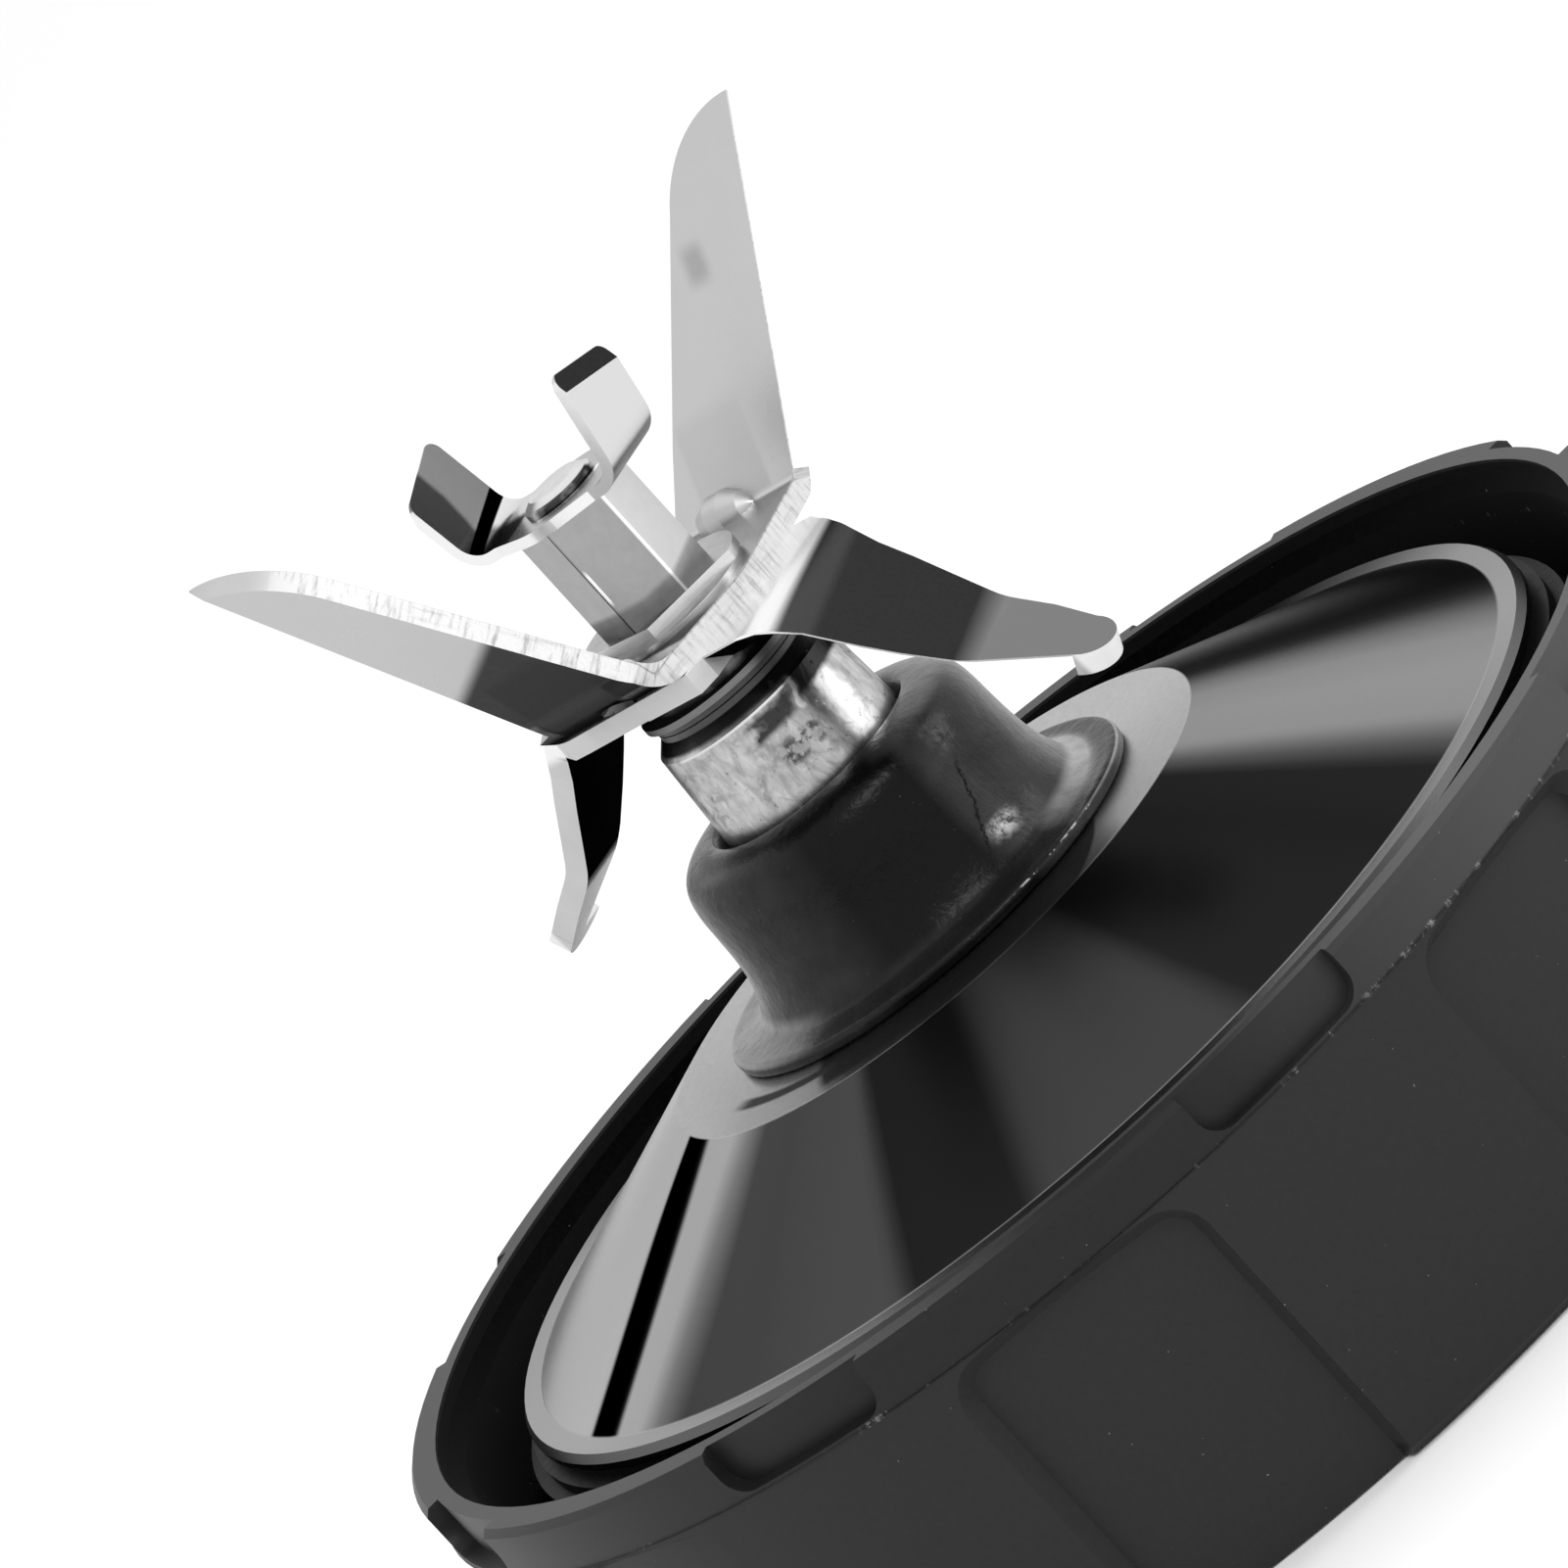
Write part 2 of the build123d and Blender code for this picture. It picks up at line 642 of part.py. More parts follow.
def make_coupling():
    coupling = spun(
        (0, coupling_bottom), (coupling_r - 0.8, coupling_bottom),
        (coupling_r, coupling_bottom + 0.8), (coupling_r, coupling_shoulder),
        (coupling_neck_r, coupling_shoulder), (coupling_neck_r, coupling_top), (0, coupling_top),
    )
    socket_r = socket_across_flats / sqrt(3)
    under = coupling_bottom - 1
    socket = extrude(RegularPolygon(socket_r, 6), socket_depth + 1)
    coupling -= Pos(0, 0, under) * socket
    coupling -= spun((0, under), (socket_r + 2, under), (0, under + socket_r + 2))
    coupling -= rod(shaft_r + seated, shaft_bottom - axial, coupling_top)
    cross = Rot(0, 90, 0) * Cylinder(pin_r + seated, 4 * coupling_neck_r)
    return coupling - Pos(0, 0, pin_z) * cross


def make_pin():
    pin = Rot(0, 90, 0) * Cylinder(pin_r, 2 * coupling_neck_r - 0.4)
    return Pos(0, 0, pin_z) * pin


def make_all():
    under_plateau = plateau_z - dish_sheet
    upper_z = bearing_top - seal_length - bushing_length
    lower_z = neck_bottom + lower_bushing_inset
    slip = shaft_r + seated
    return {
        "collar": make_collar(),
        "dish": make_dish(),
        "dish_gasket": make_gasket(),
        "boot": make_boot(),
        "bearing_housing": make_housing(),
        "upper_bushing": make_bushing(upper_z),
        "lower_bushing": make_bushing(lower_z),
        "shaft_seal": make_seal(),
        "housing_washer": ring(nut_washer_r, neck_r + seated, under_plateau - nut_washer, nut_washer),
        "housing_nut": make_nut(),
        "wear_washer": ring(wear_washer_r, shaft_r + passing, wear_z, wear_washer),
        "drive_shaft": make_shaft(),
        "thrust_washer": ring(wear_washer_r, slip, thrust_z, wear_washer),
        "seat_washer": ring(seat_washer_r, slip, seat_z, seat_washer),
        "lower_blade": make_lower_blade(),
        "main_blade": make_main_blade(),
        "lock_washer": rod(lock_washer_r, lock_z, lock_washer) - shaft_hole(lock_z - 1, lock_washer + 2),
        "flange_washer": make_flange_washer(),
        "hex_spacer": make_spacer(),
        "top_blade": make_top_blade(),
        "drive_washer": ring(drive_washer_r, slip, drive_washer_z, drive_washer),
        "retaining_clip": make_clip(),
        "drive_coupling": make_coupling(),
        "coupling_pin": make_pin(),
    }


os.makedirs("parts", exist_ok=True)
for name, shape in make_all().items():
    export_step(shape, f"parts/{name}.step")
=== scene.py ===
import math

import bpy
from mathutils import Matrix, Vector


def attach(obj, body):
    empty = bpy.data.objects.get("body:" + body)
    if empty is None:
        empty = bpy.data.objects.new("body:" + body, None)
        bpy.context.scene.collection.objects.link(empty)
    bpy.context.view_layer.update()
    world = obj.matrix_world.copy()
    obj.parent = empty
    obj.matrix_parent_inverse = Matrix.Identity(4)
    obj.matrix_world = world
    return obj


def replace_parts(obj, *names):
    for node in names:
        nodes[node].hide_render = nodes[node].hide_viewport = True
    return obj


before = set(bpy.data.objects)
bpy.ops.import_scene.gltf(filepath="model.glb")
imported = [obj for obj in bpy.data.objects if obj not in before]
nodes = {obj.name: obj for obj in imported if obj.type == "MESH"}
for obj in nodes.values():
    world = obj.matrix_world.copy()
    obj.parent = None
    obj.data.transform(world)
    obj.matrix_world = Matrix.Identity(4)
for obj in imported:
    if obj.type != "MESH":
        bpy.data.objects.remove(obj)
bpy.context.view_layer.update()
scene = bpy.context.scene
scene.view_settings.view_transform = "Standard"


# Levels of the part, in millimetres above the collar's lower edge

MM = 1000    # millimetres in a unit of the scene


def levels(node):
    """The heights of a CAD piece's lowest and highest points."""
    heights = [v.co.z * MM for v in nodes[node].data.vertices]
    return min(heights), max(heights)


collar_top = levels("collar")[1]
sleeve_top = levels("bearing_housing")[1]
main_face = levels("lock_washer")[0]               # upper face of the main blade's plate
top_sheet = 0.85
top_face = levels("hex_spacer")[1] + top_sheet     # upper face of the top blade's plate


# Camera

def photo_camera():
    """The photograph's camera, from a fit to the ellipses of the collar, the dish and the boot.

    It goes round a point on the axis, in metres. Yaw, pitch and roll turn it from facing that point.
    """
    distance = 0.96735
    aim_height = 0.0271
    side = math.radians(-45)
    elevation = math.radians(14.9064)
    yaw, pitch, roll = (math.radians(v) for v in (-0.1253, 1.2659, -42.2148))
    focal_px, image_px, sensor_mm = 14343.5, 1601, 36.0

    place = distance * Vector((0, -math.cos(elevation), math.sin(elevation)))
    forward = -place.normalized()
    right = forward.cross(Vector((0, 0, 1))).normalized()
    up = right.cross(forward)
    level = forward * math.cos(yaw) + right * math.sin(yaw)
    forward = level * math.cos(pitch) + up * math.sin(pitch)
    right = forward.cross(up).normalized()
    up = right.cross(forward)
    turned_right = right * math.cos(roll) + up * math.sin(roll)
    turned_up = up * math.cos(roll) - right * math.sin(roll)
    axes = Matrix((turned_right, turned_up, -forward)).transposed().to_4x4()
    into_part = Matrix.Translation((0, 0, aim_height)) @ Matrix.Rotation(side, 4, "Z")

    data = bpy.data.cameras.new("camera")
    data.sensor_width = sensor_mm
    data.lens = focal_px / image_px * sensor_mm
    data.clip_start = 0.05
    data.clip_end = 20
    camera = bpy.data.objects.new("camera", data)
    camera.matrix_world = into_part @ Matrix.Translation(place) @ axes
    scene.collection.objects.link(camera)
    scene.camera = camera


photo_camera()


# Node helpers

class Sheet:
    """A material's node tree with short ways to add nodes.

    Lengths are in millimetres and azimuths in degrees from +X. A mask is a number from 0 to 1.
    """

    def __init__(self, name):
        self.mat = bpy.data.materials.new(name)
        self.mat.use_nodes = True
        self.tree = self.mat.node_tree
        self.shader = self.tree.nodes["Principled BSDF"]
        coord = self.node("ShaderNodeTexCoord")
        scaled = self.node("ShaderNodeVectorMath", operation="SCALE")
        self.put(coord.outputs["Object"], scaled.inputs[0])
        scaled.inputs["Scale"].default_value = MM
        self.place = scaled.outputs[0]
        self.x, self.y, self.z = self.split(self.place)
        self.nx, self.ny, self.nz = self.split(coord.outputs["Normal"])

    def node(self, kind, **settings):
        n = self.tree.nodes.new(kind)
        for key, value in settings.items():
            setattr(n, key, value)
        return n

    def put(self, value, socket):
        """Link an output, or set a plain number."""
        if isinstance(value, bpy.types.NodeSocket):
            self.tree.links.new(value, socket)
        else:
            socket.default_value = value

    def split(self, vector):
        n = self.node("ShaderNodeSeparateXYZ")
        self.put(vector, n.inputs[0])
        return n.outputs[0], n.outputs[1], n.outputs[2]

    def join(self, x, y, z):
        n = self.node("ShaderNodeCombineXYZ")
        for value, socket in zip((x, y, z), n.inputs):
            self.put(value, socket)
        return n.outputs[0]

    def math(self, operation, a, b=0.0):
        n = self.node("ShaderNodeMath", operation=operation)
        self.put(a, n.inputs[0])
        self.put(b, n.inputs[1])
        return n.outputs[0]

    def add(self, a, b):
        return self.math("ADD", a, b)

    def sub(self, a, b):
        return self.math("SUBTRACT", a, b)

    def mul(self, a, b):
        return self.math("MULTIPLY", a, b)

    def larger(self, a, b):
        return self.math("MAXIMUM", a, b)

    def size(self, value):
        return self.math("ABSOLUTE", value)

    def sign(self, value):
        return self.math("SIGN", value)

    def clamp(self, value, low=0.0):
        return self.math("MINIMUM", self.larger(value, low), 1.0)

    def both(self, *masks):
        """The product of masks."""
        result = masks[0]
        for mask in masks[1:]:
            result = self.mul(result, mask)
        return result

    def step(self, value, low, high):
        """0 below low, 1 above high, smooth between; low may be the larger for a falling edge."""
        n = self.node("ShaderNodeMapRange", interpolation_type="SMOOTHSTEP", clamp=True)
        self.put(value, n.inputs["Value"])
        flip = high < low
        n.inputs["From Min"].default_value = high if flip else low
        n.inputs["From Max"].default_value = low if flip else high
        n.inputs["To Min"].default_value = 1.0 if flip else 0.0
        n.inputs["To Max"].default_value = 0.0 if flip else 1.0
        return n.outputs["Result"]

    def between(self, value, rise, fall):
        """1 between a rising and a falling soft edge, each given as its two ends."""
        return self.mul(self.step(value, *rise), self.step(value, *fall))

    def near(self, value, middle, half, soft):
        """1 within half of the middle, falling to 0 over soft."""
        off = self.size(self.sub(value, middle))
        return self.step(off, half + soft, half)

    def mix(self, mask, a, b):
        """a where the mask is 0, b where it is 1."""
        n = self.node("ShaderNodeMix", data_type="FLOAT")
        self.put(mask, n.inputs[0])
        self.put(a, n.inputs[2])
        self.put(b, n.inputs[3])
        return n.outputs[0]

    def along(self, value, *stops):
        """A number that follows (value, number) stops along a value, straight between them."""
        low, high = stops[0][0], stops[-1][0]
        share = self.math("DIVIDE", self.sub(value, low), high - low)
        n = self.node("ShaderNodeFloatCurve")
        self.put(share, n.inputs["Value"])
        curve = n.mapping.curves[0]
        points = [((p - low) / (high - low), v) for p, v in stops]
        curve.points[0].location = points[0]
        curve.points[1].location = points[-1]
        for p in points[1:-1]:
            curve.points.new(*p)
        for p in curve.points:
            p.handle_type = "VECTOR"
        n.mapping.update()
        return n.outputs["Value"]

    def radius(self):
        return self.math("SQRT", self.add(self.mul(self.x, self.x), self.mul(self.y, self.y)))

    def azimuth(self):
        """Degrees from +X, 0 to 360."""
        turn = self.mul(self.math("ARCTAN2", self.y, self.x), 180 / math.pi)
        return self.math("FLOORED_MODULO", turn, 360.0)

    def noise(self, scale, detail=3.0, rough=0.55, stretch=(1, 1, 1), place=None, distortion=0.0):
        n = self.node("ShaderNodeTexNoise")
        vector = self.node("ShaderNodeVectorMath", operation="MULTIPLY")
        self.put(self.place if place is None else place, vector.inputs[0])
        vector.inputs[1].default_value = stretch
        self.put(vector.outputs[0], n.inputs["Vector"])
        n.inputs["Scale"].default_value = scale
        n.inputs["Detail"].default_value = detail
        n.inputs["Roughness"].default_value = rough
        n.inputs["Distortion"].default_value = distortion
        return n.outputs["Fac"]

    def sway(self, pattern, amount, middle=0.5):
        """How far a pattern is from its middle, times an amount."""
        return self.mul(self.sub(pattern, middle), amount)

    def grey(self, value):
        n = self.node("ShaderNodeCombineColor")
        for socket in n.inputs[:3]:
            self.put(value, socket)
        return n.outputs[0]

    def bump(self, height, strength, distance):
        n = self.node("ShaderNodeBump")
        n.inputs["Strength"].default_value = strength
        n.inputs["Distance"].default_value = distance / MM
        self.put(height, n.inputs["Height"])
        self.put(n.outputs[0], self.shader.inputs["Normal"])

    def plastic(self, tone, rough, shine=0.5):
        """Finish the material as plastic or rubber."""
        self.put(self.grey(tone), self.shader.inputs["Base Color"])
        self.put(rough, self.shader.inputs["Roughness"])
        self.shader.inputs["Specular IOR Level"].default_value = shine
        return self.mat

    def steel(self, tone, rough, metallic=1.0):
        """Finish the material as metal, which keeps its tone at a grazing view too."""
        colour = self.grey(tone)
        self.put(colour, self.shader.inputs["Base Color"])
        self.put(colour, self.shader.inputs["Specular Tint"])
        self.put(rough, self.shader.inputs["Roughness"])
        self.put(metallic, self.shader.inputs["Metallic"])
        return self.mat


def dress(material, *names):
    for name in names:
        slots = nodes[name].data.materials
        slots.clear()
        slots.append(material)


# Black collar

def collar_material():
    """Moulded black plastic with painted light above its mould seam, lighter on some sides than
    others, and pale flecks along the seam.
    """
    s = Sheet("collar_plastic")
    seam_z = collar_top - 4.08
    web_z = 14.0       # floor of the jar's channel
    skin_r = 51.9      # the outer wall's skin lies outside this
    r = s.radius()
    az = s.azimuth()
    outward = s.math("DIVIDE", s.add(s.mul(s.x, s.nx), s.mul(s.y, s.ny)), r)
    grain = s.noise(2.2, 4, 0.6)
    fine = s.noise(14, 2, 0.5)

    # Painted light on the lip above the mould seam, lighter on some sides than others
    painted_shading = s.along(az, (0, 0.016), (90, 0.012), (150, 0.018), (200, 0.008), (232, 0.008),
                   (244, 0.024), (262, 0.045), (300, 0.036), (360, 0.016))
    tone = s.mix(s.step(s.z, seam_z - 0.12, seam_z + 0.18), 0.0125, painted_shading)

    # Painted shade inside the collar, on its inner wall and the jar's channel, blackest where they
    # face up
    inward = s.mul(s.step(r, skin_r + 0.05, skin_r - 0.2), s.step(outward, -0.2, -0.5))
    inside = s.both(
        s.larger(inward, s.step(r, skin_r + 0.4, skin_r)),
        s.between(s.z, (web_z, web_z + 2), (collar_top - 0.18, collar_top - 0.3)),
    )
    inside_shade_tone = s.mix(s.step(s.nz, 0.2, 0.45), 0.007, 0.0005)
    tone = s.mix(inside, tone, inside_shade_tone)

    # Painted highlight on the outer wall's sloped faces, the walls of its panels and notches, below
    # the seam
    wall_highlight = s.both(
        s.step(outward, 0.93, 0.8),
        s.step(r, skin_r, skin_r + 0.3),
        s.between(s.z, (0.8, 1.4), (seam_z - 0.12, seam_z - 0.42)),
    )
    tone = s.add(tone, s.mul(wall_highlight, 0.013))
    tone = s.add(tone, s.sway(grain, 0.006))

    patches = s.step(s.noise(0.35, 3, 0.6), 0.5, 0.62)
    handled = s.mul(s.near(az, 262, 14, 14), 0.04)
    fleck = s.step(s.add(s.noise(1.1, 5, 0.75, (1, 1, 0.2)), handled), 0.56, 0.66)
    fleck = s.both(fleck, s.larger(patches, s.mul(handled, 18)), s.near(s.z, seam_z, 0.08, 0.2))
    tone = s.add(tone, s.mul(fleck, 0.2))
    specks = s.step(s.noise(2.6, 2, 0.5), 0.77, 0.8)
    tone = s.add(tone, s.mul(specks, 0.12))

    rough = s.mix(inside, s.add(0.42, s.sway(fine, 0.12)), 0.85)
    s.bump(s.add(s.mul(fine, 0.6), s.mul(grain, 0.4)), 0.25, 0.06)
    # Painted shade inside: a nearly black specular tint there
    s.put(s.grey(s.mix(inside, 1.0, 0.05)), s.shader.inputs["Specular Tint"])
    return s.plastic(tone, rough, 0.26)


collar_plastic = collar_material()
dress(collar_plastic, "collar")


# Polished dish

def dish_material():
    """Polished cone with painted reflection bands of light and dark round it, a brushed plateau with
    painted reflection and the boot's painted shadow on it, and a turned rim with painted reflection
    bands.
    """
    s = Sheet("dish_steel")
    plateau_r = 23.25
    cone_r = 33.0      # halfway down the cone
    rim_r = 43.1
    hem_r = 44.8
    boot_r = 17.0
    r = s.radius()
    az = s.azimuth()

    # Cone: painted reflection bands; lean is how far a band's edge turns per millimetre of radius,
    # plus a half
    lean = s.along(az, (100, 0.8), (147, 1.0), (154, 0.75), (160, 0.5), (168, 0.28), (185, 0.5),
                   (197, 0.65), (207, 0.5), (216, 0.33), (228, 0.5), (240, 0.55), (275, 0.45),
                   (305, 0.22), (340, 0.22))
    turned = s.sub(az, s.mul(s.sub(lean, 0.5), s.sub(r, cone_r)))
    tone = s.along(turned, (0, 0.30), (20, 0.18), (38, 0.18), (52, 0.5), (78, 0.5), (96, 0.6),
                   (118, 0.60), (135, 0.575), (146.2, 0.56), (147.4, 0.0), (154.4, 0.0),
                   (155.8, 0.48), (161.5, 0.46), (166, 0.25), (171.5, 0.11), (180, 0.092),
                   (196.3, 0.085), (199.3, 0.028), (214, 0.026), (217.4, 0.066), (237.2, 0.067),
                   (240.6, 0.028), (262, 0.036), (272, 0.052), (276, 0.15), (280.5, 0.34),
                   (290, 0.385), (298, 0.38), (303, 0.31), (309, 0.18), (317, 0.105), (345, 0.09),
                   (360, 0.25))

    # Plateau, with painted reflection round it, the boot's painted shadow and reflection, and a thin
    # painted dark arc beside them
    level = s.along(az, (0, 0.62), (90, 0.60), (150, 0.57), (180, 0.50), (215, 0.25), (240, 0.2),
                    (262, 0.50), (290, 0.55), (325, 0.62), (360, 0.62))
    off_boot = s.sub(r, boot_r)
    boot_shadow_and_reflection = s.both(
        s.step(s.sub(az, s.mul(off_boot, 1.75)), 175.5, 178.5),
        s.step(s.add(az, s.mul(off_boot, 3.8)), 270.5, 268.5),
    )
    outer_boot_shadow_and_reflection = s.along(az, (175, 0.2), (195, 0.7), (222, 0.75), (245, 1.0), (265, 1.0))
    boot_shadow_and_reflection = s.mul(boot_shadow_and_reflection, s.mix(s.step(r, 21.6, 22.6), 1.0, outer_boot_shadow_and_reflection))
    level = s.mix(boot_shadow_and_reflection, level, 0.17)
    arc_r = s.add(r, s.sway(az, 0.02, 168))
    arc = s.both(s.near(arc_r, 19.7, 0.35, 0.45), s.between(az, (150, 158), (190, 182)))
    level = s.mix(arc, level, 0.2)
    brushed = s.noise(2.2, 3, 0.6, distortion=0.8)
    level = s.mul(level, s.add(1.0, s.sway(brushed, 0.34)))
    flat = s.step(r, plateau_r + 0.1, plateau_r - 0.1)
    tone = s.mix(flat, tone, level)

    # Rim and its turned edge, with painted reflection bands round them, and the underside
    rim_reflection_tone = s.along(az, (0, 0.14), (60, 0.16), (100, 0.5), (150, 0.53), (195, 0.44),
                       (204, 0.30), (230, 0.28), (240, 0.42), (280, 0.46), (300, 0.50),
                       (325, 0.46), (345, 0.24), (360, 0.14))
    tone = s.mix(s.step(r, rim_r, rim_r + 0.25), tone, rim_reflection_tone)
    hem = s.mul(s.step(r, hem_r - 0.05, hem_r + 0.05), s.step(s.nz, 0.9, 0.7))
    hem_reflection_tone = s.along(az, (0, 0.3), (120, 0.30), (170, 0.14), (200, 0.05), (250, 0.05),
                       (290, 0.2), (360, 0.3))
    tone = s.mix(hem, tone, hem_reflection_tone)
    under = s.step(s.nz, -0.2, -0.5)
    tone = s.larger(s.mix(under, tone, 0.38), 0.0)

    fine = s.noise(9.0, 2, 0.5)
    rough = s.add(s.mix(flat, 0.26, 0.32), s.sway(fine, 0.06))
    s.bump(s.noise(16, 2, 0.5), 0.04, 0.05)
    return s.steel(tone, rough)


dress(dish_material(), "dish")


# Rubber

def seal_material():
    """Dull black rubber."""
    s = Sheet("seal_rubber")
    base = 0.004
    grain = s.noise(1.3, 4, 0.55)
    fine = s.noise(9, 3, 0.6)
    tone = s.add(base, s.sway(grain, base * 0.9, 0.45))
    rough = s.add(0.5, s.sway(grain, 0.16))
    s.bump(s.add(s.mul(grain, 0.6), s.mul(fine, 0.15)), 0.35, 0.25)
    return s.plastic(tone, rough, 0.12)


def boot_material():
    """Rubber with painted sheen round it and painted highlights on its right, where it is cracked and
    creased.
    """
    s = Sheet("boot_rubber")
    foot_z = 36.9
    highlight_z = 39.4
    crown_z = 48.1
    az = s.azimuth()
    cloud = s.noise(0.5, 4, 0.6)
    grain = s.noise(3.0, 4, 0.6)
    ragged = s.step(s.noise(0.9, 5, 0.7), 0.40, 0.62)
    # Painted sheen round the boot, darkest on the side towards the camera and greyer round its sides
    tone = s.along(az, (0, 0.10), (120, 0.10), (140, 0.06), (152, 0.03), (192, 0.018),
                   (206, 0.003), (246, 0.002), (253, 0.028), (262, 0.036), (268, 0.022),
                   (286, 0.03), (300, 0.10), (330, 0.14), (360, 0.10))

    # Painted highlights on the right, low and high, and a paler ragged patch on the left
    sloped_z = s.add(s.z, s.sway(az, 0.02, 258))
    low_highlight = s.both(s.near(az, 258, 1, 8), s.near(sloped_z, highlight_z, 0.15, 0.95), ragged)
    tone = s.add(tone, s.mul(low_highlight, 0.5))
    high_highlight = s.both(s.near(az, 265, 0, 8), s.near(s.z, 46.4, 0, 1.2), ragged)
    tone = s.add(tone, s.mul(high_highlight, 0.12))
    left_patch = s.both(s.near(s.z, highlight_z, 0.4, 1.2), s.step(az, 146, 136), ragged)
    tone = s.add(tone, s.mul(left_patch, 0.1))

    # Foot and crown, with painted sheen round them, and a painted highlight dotted along the foot's
    # lip
    foot = s.between(s.z, (foot_z - 0.3, foot_z), (foot_z + 1.3, foot_z + 0.5))
    foot_sheen_tone = s.along(az, (0, 0.16), (130, 0.26), (160, 0.14), (180, 0.012), (262, 0.010),
                        (276, 0.18), (296, 0.34), (360, 0.26))
    tone = s.mix(foot, tone, foot_sheen_tone)
    lip_highlight = s.both(s.near(s.z, foot_z - 0.14, 0.03, 0.07), s.between(az, (236, 246), (272, 268)))
    dotted = s.step(s.noise(1.4, 3, 0.6), 0.46, 0.58)
    tone = s.add(tone, s.mul(s.mul(lip_highlight, dotted), 0.4))
    crown_sheen_tone = s.along(az, (0, 0.14), (150, 0.16), (172, 0.04), (200, 0.003), (240, 0.003),
                         (258, 0.05), (275, 0.14), (360, 0.16))
    tone = s.mix(s.step(s.z, crown_z, crown_z + 0.8), tone, crown_sheen_tone)
    tone = s.mul(tone, s.add(0.4, s.mul(cloud, 1.2)))

    # Crack, a dark line above the foot on the right, and dust
    wander = s.sway(s.noise(0.8, 4, 0.6), 9.0)
    crack_az = s.add(251, s.sway(s.z, 2.6, 40))
    crack = s.both(
        s.near(s.sub(s.add(az, wander), crack_az), 0, 0.2, 0.9),
        s.between(s.z, (38.4, 39.6), (45.2, 44.0)),
    )
    tone = s.mix(crack, tone, 0.001)
    foot_dark_line = s.both(s.near(s.z, foot_z + 0.05, 0.05, 0.1), s.step(az, 262, 272))
    tone = s.mix(foot_dark_line, tone, 0.001)
    dust = s.step(s.noise(4.5, 1, 0.5), 0.78, 0.81)
    tone = s.add(tone, s.mul(dust, 0.05))

    crease = s.noise(1.5, 4, 0.65, (2.6, 2.6, 0.35), distortion=0.5)
    creased = s.both(s.near(az, 258, 6, 8), s.near(s.z, 42.5, 2.5, 1.5))
    height = s.add(s.mul(cloud, 1.2), s.mul(s.mul(crease, creased), 1.4))
    s.bump(s.add(height, s.mul(grain, 0.12)), 0.4, 0.3)
    rough = s.add(0.22, s.mul(grain, 0.14))
    return s.plastic(tone, rough, 0.13)


dress(seal_material(), "dish_gasket", "shaft_seal")


# Pieces modelled here, in millimetres

def smooth_line(points, per_span):
    """Points of a smooth curve through the given ones."""
    last = len(points) - 1
    line = []
    for i in range(last):
        a, b, c, d = (points[min(max(k, 0), last)] for k in (i - 1, i, i + 1, i + 2))
        for j in range(per_span):
            t = j / per_span
            weights = (
                (2 * t * t - t - t ** 3) / 2,
                (2 - 5 * t * t + 3 * t ** 3) / 2,
                (t + 4 * t * t - 3 * t ** 3) / 2,
                (t ** 3 - t * t) / 2,
            )
            line.append(tuple(sum(w * v for w, v in zip(weights, four)) for four in zip(a, b, c, d)))
    line.append(points[-1])
    return line


def make_piece(name, verts, faces, material, body, sharp=35):
    """A mesh of the scene's own that rides on a body."""
    mesh = bpy.data.meshes.new(name)
    mesh.from_pydata([tuple(c / MM for c in v) for v in verts], [], faces)
    mesh.validate()
    mesh.materials.append(material)
    mesh.polygons.foreach_set("use_smooth", [True] * len(mesh.polygons))
    mesh.set_sharp_from_angle(angle=math.radians(sharp))
    piece = bpy.data.objects.new(name, mesh)
    scene.collection.objects.link(piece)
    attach(piece, body)
    return piece


def soft_boot():
    """The rubber boot with its rounded crown and waist, slightly uneven as moulded rubber is."""
    skin = smooth_line([
        (17.2, 35.93), (17.44, 36.15), (17.46, 36.7), (17.15, 36.98), (16.2, 37.02), (15.1, 37.12),
        (14.2, 37.5), (13.55, 38.7), (13.05, 40.4), (12.8, 42.2), (12.68, 44.2), (12.6, 45.8),
        (12.4, 47.0), (11.95, 47.95), (11.15, 48.62), (10.2, 49.0), (9.2, 49.17), (8.6, 49.1),
        (8.3, 48.8),
    ], 4)
    inside = [
        (8.2, 48.3), (8.2, 46.1), (10.08, 46.1), (10.08, 38.5), (11.58, 38.5), (11.58, 36.68),
        (9.1, 36.68), (9.1, 35.93),
    ]
    ring = skin + inside
    around = 160
    first_uneven, last_uneven = 9, len(skin) - 5
    verts = []
    for k in range(around):
        turn = 2 * math.pi * k / around
        for i, (r, z) in enumerate(ring):
            if first_uneven <= i <= last_uneven:
                share = min(1.0, (i - first_uneven + 1) / 10)
                waves = 0.05 * math.sin(2 * turn + 0.9) + 0.035 * math.sin(5 * turn + z * 0.6)
                r += share * (waves - 0.04)
                z += 0.03 * math.sin(3 * turn + 0.4)
            verts.append((r * math.cos(turn), r * math.sin(turn), z))
    count = len(ring)
    faces = []
    for k in range(around):
        a = k * count
        b = (k + 1) % around * count
        for i in range(count):
            j = (i + 1) % count
            faces.append((a + i, b + i, b + j, a + j))
    return make_piece("soft_boot", verts, faces, boot_material(), "base")


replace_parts(soft_boot(), "boot")


